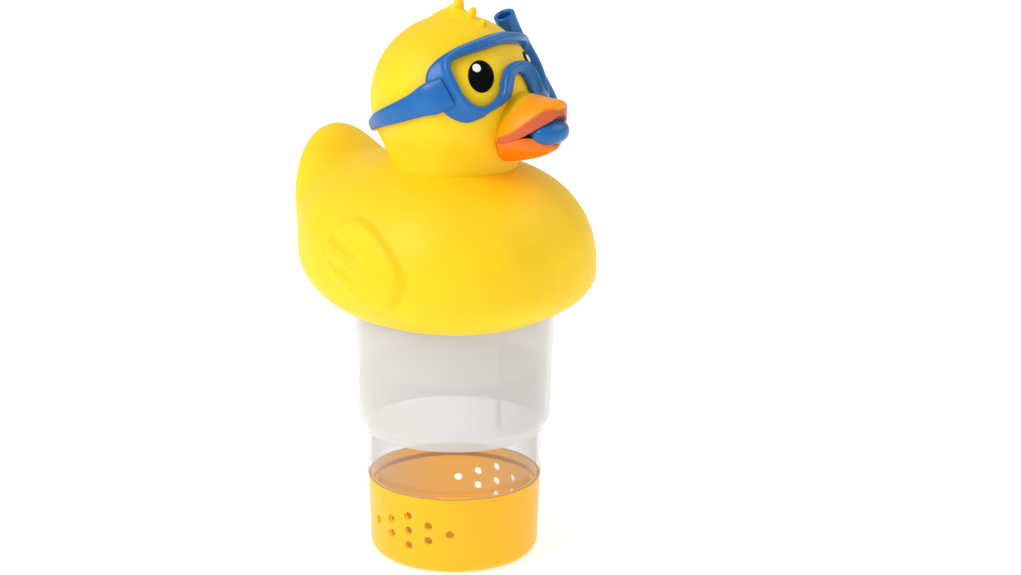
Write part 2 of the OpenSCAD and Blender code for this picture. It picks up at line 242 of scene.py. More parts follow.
def hoop(name, sections):
    """Closed ring of sections: the last joins the first."""
    sections = np.asarray(sections, float)
    count, sides = sections.shape[:2]
    return make_mesh(name, sections.reshape(-1, 3), ring_faces(count, sides, closed=True))


def tube_rings(path, radii, sides, flat=1.0):
    """Rings round a path that twist as little as possible. Flat narrows them one way."""
    path = np.asarray(path, float)
    run = np.gradient(path, axis=0)
    run /= np.linalg.norm(run, axis=1)[:, None]
    u = np.cross(run[0], [0, 0, 1.0] if abs(run[0][2]) < 0.9 else [0, 1.0, 0])
    rings = []
    angles = np.linspace(0, 2 * np.pi, sides, endpoint=False)
    for p, ahead, r in zip(path, run, radii):
        u = u - ahead * (u @ ahead)
        u /= np.linalg.norm(u)
        v = np.cross(ahead, u)
        rings.append(p + r * (np.cos(angles)[:, None] * u * flat + np.sin(angles)[:, None] * v))
    return rings


def lathe_rings(profile, sides=192):
    """Rings of a surface of revolution about the Z axis, from (radius, height) pairs."""
    a = np.linspace(0, 2 * np.pi, sides, endpoint=False)
    return [np.stack([r * np.cos(a), r * np.sin(a), z + 0 * a], -1) for r, z in profile]


def apply_modifiers(obj):
    """Replaces the mesh by what its modifiers give."""
    graph = bpy.context.evaluated_depsgraph_get()
    mesh = bpy.data.meshes.new_from_object(obj.evaluated_get(graph))
    obj.modifiers.clear()
    obj.data = mesh
    mesh.shade_smooth()


def joined_mesh(name, parts):
    """One mesh that holds the faces of several objects."""
    points, faces, base = [], [], 0
    for part in parts:
        points += [v.co for v in part.data.vertices]
        faces += [[base + k for k in f.vertices] for f in part.data.polygons]
        base += len(part.data.vertices)
    mesh = bpy.data.meshes.new(name)
    mesh.from_pydata(points, [], faces)
    return mesh


def gather(obj, others):
    """Moves the faces of other objects into this one."""
    obj.data = joined_mesh(obj.name, [obj] + others)
    for part in others:
        bpy.data.objects.remove(part)


def fuse(obj, others, voxel, passes):
    """Joins closed meshes into one skin and softens the seams between them."""
    gather(obj, others)
    remesh = obj.modifiers.new("fuse", "REMESH")
    remesh.mode = "VOXEL"
    remesh.voxel_size = voxel * MM
    soften = obj.modifiers.new("soften", "SMOOTH")
    soften.factor = 0.5
    soften.iterations = passes
    apply_modifiers(obj)


def subdivide(obj, levels=1):
    level = obj.modifiers.new("round", "SUBSURF")
    level.levels = levels
    level.render_levels = levels
    apply_modifiers(obj)


# ---- Materials -------------------------------------------------------------------------

def node_material(name):
    material = bpy.data.materials.new(name)
    material.use_nodes = True
    tree = material.node_tree
    return material, tree, tree.nodes["Principled BSDF"]


# Noise values lie mostly between these two
NOISE_SPAN = (0.3, 0.7)


def noise(tree, scale, detail):
    """Noise in the object's own space, so that it moves with the piece. Scale is in turns per metre."""
    place = tree.nodes.new("ShaderNodeTexCoord")
    texture = tree.nodes.new("ShaderNodeTexNoise")
    texture.inputs["Scale"].default_value = scale
    texture.inputs["Detail"].default_value = detail
    texture.inputs["Roughness"].default_value = 0.55
    tree.links.new(place.outputs["Object"], texture.inputs["Vector"])
    return texture.outputs["Fac"]


def clouded(tree, source, low, high):
    """Colour that runs from low to high with the source."""
    node = tree.nodes.new("ShaderNodeValToRGB")
    for element, place, colour in zip(node.color_ramp.elements, NOISE_SPAN, (low, high)):
        element.position = place
        element.color = colour
    tree.links.new(source, node.inputs["Fac"])
    return node.outputs["Color"]


def spread(tree, source, low, high):
    """Value that runs from low to high with the source."""
    node = tree.nodes.new("ShaderNodeMapRange")
    node.inputs["From Min"].default_value, node.inputs["From Max"].default_value = NOISE_SPAN
    node.inputs["To Min"].default_value = low
    node.inputs["To Max"].default_value = high
    tree.links.new(source, node.inputs["Value"])
    return node.outputs["Result"]


def bump(tree, source, depth):
    node = tree.nodes.new("ShaderNodeBump")
    node.inputs["Distance"].default_value = depth
    node.inputs["Strength"].default_value = 1.0
    tree.links.new(source, node.inputs["Height"])
    return node.outputs["Normal"]


def calculate(tree, operation, source, other):
    """Result of a maths node on an output and either a second output or a number."""
    node = tree.nodes.new("ShaderNodeMath")
    node.operation = operation
    tree.links.new(source, node.inputs[0])
    if isinstance(other, float):
        node.inputs[1].default_value = other
    else:
        tree.links.new(other, node.inputs[1])
    return node.outputs["Value"]


def shade(colour, factor):
    """The colour made darker or lighter, with full alpha."""
    return (colour[0] * factor, colour[1] * factor, colour[2] * factor, 1)


def uneven_surface(tree, shader, rough, grain, gloss_scale=160, gloss_detail=4, grain_scale=900):
    """Gloss that varies from place to place, and a fine moulding grain."""
    tree.links.new(spread(tree, noise(tree, gloss_scale, gloss_detail), *rough), shader.inputs["Roughness"])
    tree.links.new(bump(tree, noise(tree, grain_scale, 3), grain), shader.inputs["Normal"])


def moulded(name, colour, rough, mottle=0.05, grain=0.00003, grain_scale=900, shine=0.5, soft=0.0):
    """Moulded plastic: faint cloudiness in its colour, uneven gloss and a fine moulding grain."""
    material, tree, shader = node_material(name)
    tint = clouded(tree, noise(tree, 45, 3), shade(colour, 1 - mottle), shade(colour, 1 + mottle / 2))
    tree.links.new(tint, shader.inputs["Base Color"])
    uneven_surface(tree, shader, rough, grain, grain_scale=grain_scale)
    shader.inputs["Specular IOR Level"].default_value = shine
    if soft:
        shader.inputs["Subsurface Weight"].default_value = soft
        shader.inputs["Subsurface Radius"].default_value = (1.0, 0.6, 0.15)
        shader.inputs["Subsurface Scale"].default_value = 0.004
    return material


def tinted_vinyl(name, rough):
    """Vinyl whose colour, painted shade inside the mouth included, is set on the mesh itself as the
    attribute tint.
    """
    material, tree, shader = node_material(name)
    paint = tree.nodes.new("ShaderNodeAttribute")
    paint.attribute_name = "tint"
    mix = tree.nodes.new("ShaderNodeMixRGB")
    mix.blend_type = "MULTIPLY"
    mix.inputs["Fac"].default_value = 1
    tree.links.new(paint.outputs["Color"], mix.inputs["Color1"])
    cloud = clouded(tree, noise(tree, 60, 3), shade((1, 1, 1), 0.93), shade((1, 1, 1), 1))
    tree.links.new(cloud, mix.inputs["Color2"])
    tree.links.new(mix.outputs["Color"], shader.inputs["Base Color"])
    uneven_surface(tree, shader, rough, 0.00003)
    shader.inputs["Specular IOR Level"].default_value = 0.25
    return material


def glowing_inside(material, colour, radius, floor_z, strength):
    """Paints a glow on a cup's inner faces near its own Z axis: emission that stands in for the light its
    thin wall lets through.
    """
    tree = material.node_tree
    shader = tree.nodes["Principled BSDF"]
    place = tree.nodes.new("ShaderNodeTexCoord")
    split = tree.nodes.new("ShaderNodeSeparateXYZ")
    tree.links.new(place.outputs["Object"], split.inputs["Vector"])
    level = tree.nodes.new("ShaderNodeCombineXYZ")
    tree.links.new(split.outputs["X"], level.inputs["X"])
    tree.links.new(split.outputs["Y"], level.inputs["Y"])
    reach = tree.nodes.new("ShaderNodeVectorMath")
    reach.operation = "LENGTH"
    tree.links.new(level.outputs["Vector"], reach.inputs[0])
    inner = calculate(tree, "LESS_THAN", reach.outputs["Value"], radius * MM)
    above = calculate(tree, "GREATER_THAN", split.outputs["Z"], floor_z * MM)
    both = calculate(tree, "MULTIPLY", inner, above)
    glow = calculate(tree, "MULTIPLY", both, strength)
    shader.inputs["Emission Color"].default_value = shade(colour, 1)
    tree.links.new(glow, shader.inputs["Emission Strength"])


def milky_plastic(name, tone, square_on, grazing, glow):
    """Translucent chamber wall: clearer when seen square on, denser at grazing angles, and with a painted
    glow in its own tone.
    """
    material, tree, shader = node_material(name)
    shader.inputs["IOR"].default_value = 1.49
    # Painted glow: emission in the wall's own tone lightens the whole wall
    shader.inputs["Emission Color"].default_value = shade(tone, 1)
    shader.inputs["Emission Strength"].default_value = glow
    tint = clouded(tree, noise(tree, 30, 3), shade(tone, 0.96), shade(tone, 1.02))
    tree.links.new(tint, shader.inputs["Base Color"])
    uneven_surface(tree, shader, (0.16, 0.26), 0.00002, gloss_scale=120, gloss_detail=3, grain_scale=300)
    facing = tree.nodes.new("ShaderNodeLayerWeight")
    facing.inputs["Blend"].default_value = 0.3
    density = tree.nodes.new("ShaderNodeMapRange")
    density.inputs["To Min"].default_value = square_on
    density.inputs["To Max"].default_value = grazing
    tree.links.new(facing.outputs["Facing"], density.inputs["Value"])
    tree.links.new(density.outputs["Result"], shader.inputs["Alpha"])
    return material


def turned_steel():
    material, tree, shader = node_material("turned_steel")
    shader.inputs["Metallic"].default_value = 1.0
    rings = noise(tree, 400, 2)
    tint = clouded(tree, rings, (0.36, 0.37, 0.38, 1), (0.5, 0.51, 0.52, 1))
    tree.links.new(tint, shader.inputs["Base Color"])
    tree.links.new(spread(tree, rings, 0.25, 0.4), shader.inputs["Roughness"])
    return material


DUCK_YELLOW = (0.98, 0.64, 0.008)
CUP_YELLOW = (0.97, 0.50, 0.003)
MASK_BLUE = (0.004, 0.13, 0.42)
BEAK_ORANGE = (1.0, 0.34, 0.0)
BEAK_ROOT = (0.98, 0.54, 0.006)
CHIN_ORANGE = (1.0, 0.205, 0.002)
LIP_RED = (0.66, 0.12, 0.04)

duck_vinyl = moulded("duck_vinyl", DUCK_YELLOW, rough=(0.42, 0.50), grain=0.00004, shine=0.25, soft=0.1)
cup_plastic, flow_cup_painted_glow = (
    moulded(name, CUP_YELLOW, rough=(0.30, 0.38), grain=0.00002, grain_scale=500, shine=0.35)
    for name in ("cup_plastic", "flow_cup_painted_glow"))
# Painted glow: the flow cup's inner faces give off yellow light of their own
glowing_inside(flow_cup_painted_glow, CUP_YELLOW, radius=30.3, floor_z=4.2, strength=0.6)
mask_vinyl = moulded("mask_vinyl", MASK_BLUE, rough=(0.25, 0.33), mottle=0.08, shine=0.4)
beak_vinyl = tinted_vinyl("beak_vinyl", (0.3, 0.4))
eye_black = moulded("eye_black", (0.001, 0.001, 0.001), rough=(0.28, 0.34), mottle=0.2, shine=0.08)
eye_white = moulded("eye_white", (0.9, 0.9, 0.9), rough=(0.2, 0.3), mottle=0.02)
seal_rubber = moulded("seal_rubber", (0.02, 0.02, 0.02), rough=(0.55, 0.7), mottle=0.2)
gasket_rubber = moulded("gasket_rubber", (0.6, 0.6, 0.58), rough=(0.5, 0.6))
upper_milky = milky_plastic("upper_milky", (0.60, 0.59, 0.57), square_on=0.50, grazing=0.72, glow=0.20)
lower_milky = milky_plastic("lower_milky", (0.46, 0.43, 0.42), square_on=0.08, grazing=0.5, glow=0.06)
steel = turned_steel()


def dress(node, material):
    """Gives a CAD node a new material."""
    mesh_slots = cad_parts[node].material_slots
    for slot in mesh_slots:
        slot.material = material
    if not mesh_slots:
        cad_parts[node].data.materials.append(material)


def finish_piece(obj, material, body, node):
    """Gives a piece its material and body, and puts it in the place of its CAD node."""
    obj.data.materials.clear()
    obj.data.materials.append(material)
    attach(obj, body)
    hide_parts(node)


# ---- Chamber ---------------------------------------------------------------------------

def rounded(profile, radius=0.3):
    """A closed outline with its corners rounded off."""
    p = np.array(profile, float)
    out = []
    for before, corner, after in zip(np.roll(p, 1, 0), p, np.roll(p, -1, 0)):
        back, ahead = before - corner, after - corner
        cut = min(radius, 0.4 * np.linalg.norm(back), 0.4 * np.linalg.norm(ahead))
        start = corner + back / np.linalg.norm(back) * cut
        end = corner + ahead / np.linalg.norm(ahead) * cut
        for t in (0, 0.33, 0.67, 1):
            out.append(start * (1 - t) ** 2 + corner * 2 * t * (1 - t) + end * t * t)
    return np.array(out)


def turned(name, profile, sides=256):
    """Ring-shaped solid of revolution from a closed outline of (radius, height) pairs."""
    radius, height = profile.T
    spin = np.linspace(0, 2 * np.pi, sides, endpoint=False)
    return hoop(name, [np.stack([radius * math.cos(a), radius * math.sin(a), height], -1) for a in spin])


def crisp(obj, degrees=35):
    """Smooth faces, with sharp edges where they meet at more than the angle."""
    obj.data.shade_smooth()
    obj.data.set_sharp_from_angle(angle=math.radians(degrees))


def flow_hole_pins(turn):
    """Pins that cut the 1-2-3-2-1 diamonds of flow holes on two opposite sides."""
    pins = []
    spin = np.linspace(0, 2 * np.pi, 24, endpoint=False)[:, None]
    for side in (0, 180):
        for column in range(-2, 3):
            out, across = out_and_across(turn + side + column * HOLE_STEP)
            ring = HOLE_R * (np.cos(spin) * across + np.sin(spin) * np.array([0, 0, 1.0]))
            for row in range(3 - abs(column)):
                rise = HOLE_Z + (row - (2 - abs(column)) / 2) * HOLE_RISE
                rings = [out * reach + [0, 0, rise] + ring for reach in (24, 34)]
                pins.append(skin("pin", np.array(rings)[:, ::-1]))
    return pins


def make_lower_chamber():
    skirt = [(SKIRT_BORE_R, LOWER_LOW_Z), (SKIRT_R - 0.5, LOWER_LOW_Z), (SKIRT_R, LOWER_LOW_Z + 1),
             (SKIRT_R, 24), (SNAP_R, 24.3), (SNAP_R, 25.3), (SKIRT_R, 25.6), (SKIRT_R, BEAD_LOW_Z)]
    bead = [(TUBE_LOW_R, BEAD_LOW_Z), (BEAD_R, BEAD_LOW_Z + 0.5), (BEAD_R, 31.1), (TUBE_LOW_R, 31.6)]
    flange = [(TUBE_TOP_R, 65.5), (TUBE_TOP_R, FLANGE_LOW_Z), (FLANGE_R, FLANGE_LOW_Z),
              (FLANGE_R, TUBE_TOP_Z - 0.4), (FLANGE_R - 0.4, TUBE_TOP_Z)]
    bore = [(TUBE_BORE_R, TUBE_TOP_Z), (TUBE_BORE_R, 32.6), (SKIRT_BORE_R, 29.6)]
    tube = turned("lower_tube", rounded(skirt + bead + flange + bore))
    # At rest the skirt's holes stand a quarter turn from the cup's
    cutter, *pins = flow_hole_pins(HOLE_TURN + 90)
    gather(cutter, pins)
    cut = tube.modifiers.new("holes", "BOOLEAN")
    cut.operation = "DIFFERENCE"
    cut.solver = "EXACT"
    cut.object = cutter
    apply_modifiers(tube)
    bpy.data.objects.remove(cutter)
    crisp(tube)
    finish_piece(tube, lower_milky, "telescope", "lower_chamber")


def guide_rib(turn):
    """Upright rib inside the upper chamber."""
    out, across = out_and_across(turn)
    inner, outer = RIB_R
    corners = [(inner, -RIB_HALF_W), (outer, -RIB_HALF_W), (outer, RIB_HALF_W), (inner, RIB_HALF_W)]
    return skin("rib", [[out * r + across * w + [0, 0, z] for r, w in corners] for z in RIB_Z])


def thread_ridge(turn):
    """One start of the neck's thread, as a helical ridge with a narrower crest."""
    root_r, crest_r = RIDGE_R
    root_h, crest_h = RIDGE_HALF_H
    rings = []
    for swing in np.linspace(0, RIDGE_ARC, 41):
        out, _ = out_and_across(turn + swing)
        z = RIDGE_Z + THREAD_LEAD * swing / 360
        corners = [(root_r, z - root_h), (root_r, z + root_h),
                   (crest_r, z + crest_h), (crest_r, z - crest_h)]
        rings.append([out * r + [0, 0, h] for r, h in corners])
    return skin("thread", rings)


def make_upper_chamber():
    bend = SHOULDER_BEND_R
    shoulder = [(SHOULDER_R + bend * (math.cos(a) - 1), SHOULDER_Z + bend * math.sin(a))
                for a in np.radians(np.linspace(-48, 0, 9))]
    neck = [(CHAMBER_NECK_R, WALL_TOP_Z), (CHAMBER_NECK_R, CHAMBER_NECK_TOP_Z),
            (CHAMBER_NECK_BORE_R, CHAMBER_NECK_TOP_Z)]
    outline = [(LIP_R, LIP_Z), (LIP_R + 0.5, LIP_Z)] + shoulder
    outline += [(WALL_TOP_R, 85.6), (WALL_TOP_R, WALL_TOP_Z)] + neck
    outline += [(CHAMBER_NECK_BORE_R, 91.6), (34.2, 88.6), (33.3, 54), (32.5, 50), (LIP_R, 49)]
    tube = turned("upper_tube", rounded(outline))
    ribs = [guide_rib(HOLE_TURN + turn) for turn in (60, 180, 300)]
    ridges = [thread_ridge(RIDGE_TURN + turn) for turn in (0, 120, 240)]
    gather(tube, ribs + ridges)
    crisp(tube)
    finish_piece(tube, upper_milky, "chamber", "upper_chamber")


# ---- Duck body -------------------------------------------------------------------------

def plump(p):
    """How far a point lies from the middle of the plump body: 1 is on its surface."""
    rear = np.maximum(-p[..., 0], 0) / BODY_REAR
    mid_z = BELLY_Z + RUMP_LIFT * rear ** 2
    reach = np.where(p[..., 0] > 0, BODY_FRONT, BODY_REAR)
    tall = np.where(p[..., 2] > mid_z, BODY_RISE, BODY_DROP)
    total = np.abs(p[..., 0] / reach) ** BODY_BEND + np.abs(p[..., 1] / BODY_SIDE) ** BODY_BEND
    return (total + np.abs((p[..., 2] - mid_z) / tall) ** BODY_BEND) ** (1 / BODY_BEND)


def fan(p):
    """How far a point lies from the middle of the tail: 1 is on its surface."""
    d = p - TAIL
    along = d[..., 0] * math.cos(TAIL_LEAN) + d[..., 2] * math.sin(TAIL_LEAN)
    up = d[..., 2] * math.cos(TAIL_LEAN) - d[..., 0] * math.sin(TAIL_LEAN)
    return np.sqrt((along / TAIL_SIZE[0]) ** 2 + (d[..., 1] / TAIL_SIZE[1]) ** 2 + (up / TAIL_SIZE[2]) ** 2)


def duck(p):
    """Body and tail joined by a soft fillet."""
    return (plump(p) ** -FILLET_SHARPNESS + fan(p) ** -FILLET_SHARPNESS) ** (-1 / FILLET_SHARPNESS)


def body_surface(turn, lift):
    """Points on the body in the given directions from the star centre, by halving the gap."""
    way = aim(turn, lift)
    low, high = np.full(way.shape[:-1], 5.0), np.full(way.shape[:-1], 120.0)
    for _ in range(34):
        middle = (low + high) / 2
        inside = duck(STAR_CENTRE + way * middle[..., None]) < 1
        low, high = np.where(inside, middle, low), np.where(inside, high, middle)
    return STAR_CENTRE + way * low[..., None]


def outward(p):
    """Outward unit normals of the body at points on it."""
    step = 0.05
    slope = np.stack([duck(p + step * way) - duck(p - step * way) for way in np.eye(3)], -1)
    return slope / np.linalg.norm(slope, axis=-1, keepdims=True)


def segment_distance(x, z, start, end):
    """Distance in the side view from the line between two points, and the place along that line."""
    run = np.subtract(end, start)
    along = ((x - start[0]) * run[0] + (z - start[1]) * run[1]) / (run @ run)
    place = np.clip(along, 0, 1)
    return np.hypot(x - start[0] - place * run[0], z - start[1] - place * run[1]), along


def wing_height(p):
    """Raised wing on each side: a rounded lobe with two grooves between its three feathers."""
    x, z = p[..., 0], p[..., 2]
    ahead, above = x - WING_MIDDLE[0], z - WING_MIDDLE[1]
    along = ahead * math.cos(WING_TILT) + above * math.sin(WING_TILT)
    across = -ahead * math.sin(WING_TILT) + above * math.cos(WING_TILT)
    edge = np.abs(along / WING_SIZE[0]) ** WING_BEND + np.abs(across / WING_SIZE[1]) ** WING_BEND
    height = WING_RISE * smoothstep(1.1, 0.86, edge ** (1 / WING_BEND))
    for start, end, depth in GROOVES:
        away, place = segment_distance(x, z, start, end)
        groove = depth * np.exp(-(away / GROOVE_HALF_W) ** 2) * smoothstep(1.05, 0.35, place)
        height -= groove * smoothstep(0.2, 0.8, height)
    return height * smoothstep(25, 38, np.abs(p[..., 1]))


def make_body():
    sides, rows = 360, 210
    turn = np.linspace(0, 360, sides, endpoint=False)
    low, high = np.full(sides, -88.0), np.full(sides, 0.0)
    # The lowest row of the skin is where the body reaches the bore of the belly
    for _ in range(24):
        middle = (low + high) / 2
        p = body_surface(turn, middle)
        inside = np.hypot(p[:, 0], p[:, 1]) < BELLY_BORE_R + 0.5
        low, high = np.where(inside, middle, low), np.where(inside, high, middle)
    highest = 88.5
    lifts = high[None, :] + (highest - high[None, :]) * np.linspace(0, 1, rows)[:, None]
    outer = body_surface(np.broadcast_to(turn, lifts.shape), lifts)
    outer = outer + outward(outer) * wing_height(outer)[..., None]
    edge = outer[0]
    spin = np.arctan2(edge[:, 1], edge[:, 0])
    bore = [(BELLY_BORE_R + 0.12, edge[:, 2] + 0.2), (BELLY_BORE_R, edge[:, 2] + 0.6),
            (BELLY_BORE_R, FLOAT_TOP_Z + 0 * spin), (10, FLOAT_TOP_Z + 0 * spin)]
    inner = [np.stack([radius * np.cos(spin), radius * np.sin(spin), z], -1) for radius, z in bore]
    body = skin("duck_body", np.concatenate([np.array(inner[::-1]), outer]))
    finish_piece(body, duck_vinyl, "duck", "body_shell")


# ---- Duck head -------------------------------------------------------------------------

CURLS = [
    # root, two bends, tip, radius at the root, radius at the tip
    ((-7, 0.5, 188.5), (-4, 0, 198.5), (5.2, 0, 198), (1.0, 0, 203.2), 5.2, 1.75),
    ((0, 0, 188.5), (3, 0, 195.5), (9.6, 0, 195.2), (8.0, 0, 200), 4.8, 1.35),
    ((4, 0, 188), (8, 0, 193.8), (13.6, 0, 192.8), (13, 0, 196.4), 4.6, 1.3)]
CROWN_MOUND = ((0, 0, 189), (12.8, 8, 9.9))


def bezier(points, count):
    t = np.linspace(0, 1, count)[:, None]
    a, b, c, d = (np.array(p, float) for p in points)
    return a * (1 - t) ** 3 + 3 * b * t * (1 - t) ** 2 + 3 * c * t * t * (1 - t) + d * t ** 3


def ellipsoid_rings(middle, size, steps=24, sides=48):
    spin = np.linspace(0, 360, sides, endpoint=False)
    lifts = np.linspace(-87, 87, steps)
    return [np.array(middle) + aim(spin, np.full(sides, lift)) * size for lift in lifts]


def make_head():
    # The neck widens as a parabola from its own radius up to the sphere, and meets it without a kink
    join = math.radians(NECK_JOIN_LIFT)
    join_r, join_z = HEAD_R * math.cos(join), HEAD[2] + HEAD_R * math.sin(join)
    slope = math.tan(-join)
    flare = slope ** 2 / (4 * (join_r - NECK_R))
    low_z = join_z - 2 * (join_r - NECK_R) / slope
    neck = [(8, NECK_LOW_Z), (NECK_R - 0.8, NECK_LOW_Z + 0.2), (NECK_R - 0.2, NECK_LOW_Z + 0.8)]
    neck += [(NECK_R + flare * (z - low_z) ** 2, z) for z in np.linspace(low_z, join_z, 12)[:-1]]
    dome = [(HEAD_R * math.cos(a), HEAD[2] + HEAD_R * math.sin(a))
            for a in np.radians(np.linspace(NECK_JOIN_LIFT, 89, 60))]
    head = skin("duck_head", lathe_rings(neck + dome))
    tuft = [skin("mound", ellipsoid_rings(*CROWN_MOUND))]
    for i, (a, b, c, d, thick, thin) in enumerate(CURLS):
        path = bezier((a, b, c, d), 24)
        fade = np.linspace(0, 1, 24)
        radii = thin + (thick - thin) * (1 - fade) ** 1.5
        radii[-1] *= 0.7
        tuft.append(skin(f"curl_{i}", tube_rings(path, radii, 20, 0.9)))
    fuse(head, tuft, 0.5, 4)
    finish_piece(head, duck_vinyl, "duck", "head_shell")


# ---- Beak ------------------------------------------------------------------------------

# Stations along each half of the beak: x, half width, far side, mouth line and lip. The far side is
# the crown or the chin on the middle line. The lip is the height of the outer face, counted from
# the mouth line: up for the upper half and down for the lower one.
UPPER_BILL = [(20, 5, 173.2, 156.8, 2.0), (24, 7.6, 173.2, 156.6, 2.0), (27, 10.2, 173, 156.3, 2.0),
              (30, 12.6, 172.7, 156.4, 2.4), (34, 12.9, 172.3, 157.4, 3.0), (38, 11.8, 171.9, 159.2, 3.8),
              (41.5, 9.6, 171.7, 161.6, 4.7), (44.3, 6.6, 171.6, 163.8, 5.0), (46.0, 3.6, 171.0, 165.4, 3.8),
              (46.6, 1.2, 169.6, 167.2, 1.4)]
LOWER_BILL = [(20, 5, 147.6, 156.9, -1.5), (24, 7.5, 147.8, 156.9, -1.5), (27, 10.1, 148.2, 156.8, -1.6),
              (30, 12.5, 148.8, 156.9, -1.8), (34, 12.6, 149.8, 157.8, -2.2), (38, 11.0, 151, 159.2, -2.4),
              (41, 7.8, 152.4, 158.9, -2.4), (43.3, 4.8, 153.6, 157.6, -1.8),
              (44.7, 1.6, 154.6, 156.4, -0.8)]


def bill_rings(stations):
    """Sections across one half of the beak at its stations."""
    over = np.cos(np.linspace(0, np.pi, 33))
    under = -np.cos(np.linspace(0.12, np.pi - 0.12, 25))
    rings = []
    for x, wide, far, mouth, lip in stations:
        edge = mouth + lip
        lip_face = [1.015, 1.015, 0.99]
        outside = [[1.0], over[1:-1], [-1.0], np.negative(lip_face)]
        across = np.concatenate(outside + [under * 0.96, lip_face[::-1]])
        crown = edge + (far - edge) * (1 - np.abs(over[1:-1]) ** 2.2) ** 0.75
        face = [mouth + lip * k for k in (0.7, 0.35, 0.05)]
        roof = mouth + (far - mouth) * 0.16 * (1 - under ** 2)
        z = np.concatenate([[edge], crown, [edge], face, roof, face[::-1]])
        rings.append(np.stack([np.full_like(z, x), across * wide, z], -1))
    return np.array(rings)


def paint_beak(obj, upper):
    """Colours: airbrushed yellow where the beak grows out of the face, orange, a darker red band along the
    lip's outer face, and painted shade on the faces inside the mouth.
    """
    mesh = obj.data
    p = np.array([v.co for v in mesh.vertices]) / MM
    normal = np.array([v.normal for v in mesh.vertices])
    shape = np.array(UPPER_BILL if upper else LOWER_BILL, float)
    wide, mouth, lip = (np.interp(p[:, 0], shape[:, 0], shape[:, k]) for k in (1, 3, 4))
    side = np.abs(p[:, 1]) / wide
    outer = np.clip(smoothstep(0.75, 0.98, side) + smoothstep(42, 45.5, p[:, 0]), 0, 1)
    band = outer * smoothstep(1.25, 0.8, (p[:, 2] - mouth) / lip) * (1.0 if upper else 0.25)
    # Painted shade: faces that look into the mouth, away from the outer edge, are darkened by up to 35
    # percent
    facing_mouth = smoothstep(0.2, -0.3, normal[:, 2] * (1 if upper else -1))
    inside = facing_mouth * smoothstep(0.99, 0.9, side)
    base = np.array(BEAK_ORANGE if upper else CHIN_ORANGE)
    colour = base + (np.array(LIP_RED) - base) * np.clip(band, 0, 1)[:, None]
    colour = colour * (1 - 0.35 * inside[:, None])
    if upper:
        face_x = 26.4 + 0.5 * (p[:, 2] - 155)
        near_face = smoothstep(1.6, -1.6, p[:, 0] - face_x)
        colour += (np.array(BEAK_ROOT) - colour) * near_face[:, None]
    tint = mesh.attributes.new("tint", "FLOAT_COLOR", "POINT")
    tint.data.foreach_set("color", np.concatenate([colour, np.ones((len(p), 1))], 1).ravel())


def make_beak():
    for name, shape, node, upper in [("beak_upper", UPPER_BILL, "upper_bill", True),
                                     ("beak_lower", LOWER_BILL, "lower_bill", False)]:
        rings = bill_rings(smooth_line(shape, np.linspace(0, len(shape) - 1, 44)))
        half = skin(name, rings if upper else rings[:, ::-1])
        subdivide(half)
        paint_beak(half, upper)
        finish_piece(half, beak_vinyl, "duck", node)


# ---- Mask, strap and snorkel -----------------------------------------------------------

def both_sides(half):
    """Whole outline from its half on the duck's left side."""
    half = np.array(half, float)
    return np.concatenate([half, (half * (-1, 1))[-2:0:-1]])


def on_head(way, radius):
    """Points at a distance from the head's middle, in the directions of (turn, lift) pairs."""
    return HEAD + aim(way[..., 0], way[..., 1]) * np.asarray(radius)[..., None]


def make_mask():
    """Hoop whose section runs from the window's foot over the rounded bead and down the side wall."""
    count = 320
    rim, window = (smooth_line(outline, np.arange(count) / count * len(outline), closed=True)
                   for outline in (both_sides(MASK_RIM), both_sides(MASK_WINDOW)))
    middle_r = np.full(count, HEAD_R + 3)
    gap = np.linalg.norm(on_head(rim, middle_r) - on_head(window, middle_r), axis=1)
    # The bead is 3.6 mm wide, and narrower where the frame is less than 4.6 mm wide
    squeeze = np.minimum(1, gap / 4.6)
    bead_share = 3.6 * squeeze / gap
    bead = [(0.0, -0.6), (0.0, 1.2), (0.12, 2.6), (0.5, 3.5), (1.1, 3.95), (1.8, 4.0), (2.5, 3.7),
            (3.1, 3.1), (3.6, 2.6)]
    wall = [(0.55, 2.2), (0.9, 1.7), (1.0, 1.2), (1.0, -0.6)]
    shares = [(np.clip(wide * squeeze / gap, 0, 1), rise) for wide, rise in bead]
    shares += [(bead_share + (1 - bead_share) * near_rim, rise) for near_rim, rise in wall]
    sections = []
    for share, rise in shares:
        way = window + (rim - window) * share[:, None]
        sections.append(on_head(way, np.full(count, HEAD_R + rise)))
    mask = hoop("dive_mask", np.transpose(np.array(sections), (1, 0, 2)))
    subdivide(mask)
    finish_piece(mask, mask_vinyl, "duck", "mask_frame")


def make_strap():
    """Band round the back of the head, with a thicker tab where it meets the mask."""
    steps = 90
    t = np.linspace(0, len(STRAP_UPPER) - 1, steps)
    upper, lower = smooth_line(STRAP_UPPER, t), smooth_line(STRAP_LOWER, t)
    proud = 2.0 + 1.6 * smoothstep(2.2, 0.6, t)
    # Section: place across the band, and rise as a share of its thickness or sunk into the head
    profile = [(0.0, -0.4), (0.0, 0.5), (0.05, 0.82), (0.16, 0.97), (0.5, 1.0), (0.84, 0.97), (0.95, 0.82),
               (1.0, 0.5), (1.0, -0.4)]
    sections = []
    for i in range(steps):
        ring = []
        for across, rise in profile:
            way = lower[i] + (upper[i] - lower[i]) * across
            ring.append(on_head(way, HEAD_R + (rise * proud[i] if rise > 0 else rise)))
        sections.append(ring)
    half = np.array(sections)
    other = half[::-1][1:] * (1, -1, 1)
    strap = skin("mask_strap_band", np.concatenate([half, other])[:, ::-1])
    subdivide(strap)
    finish_piece(strap, mask_vinyl, "duck", "mask_strap")


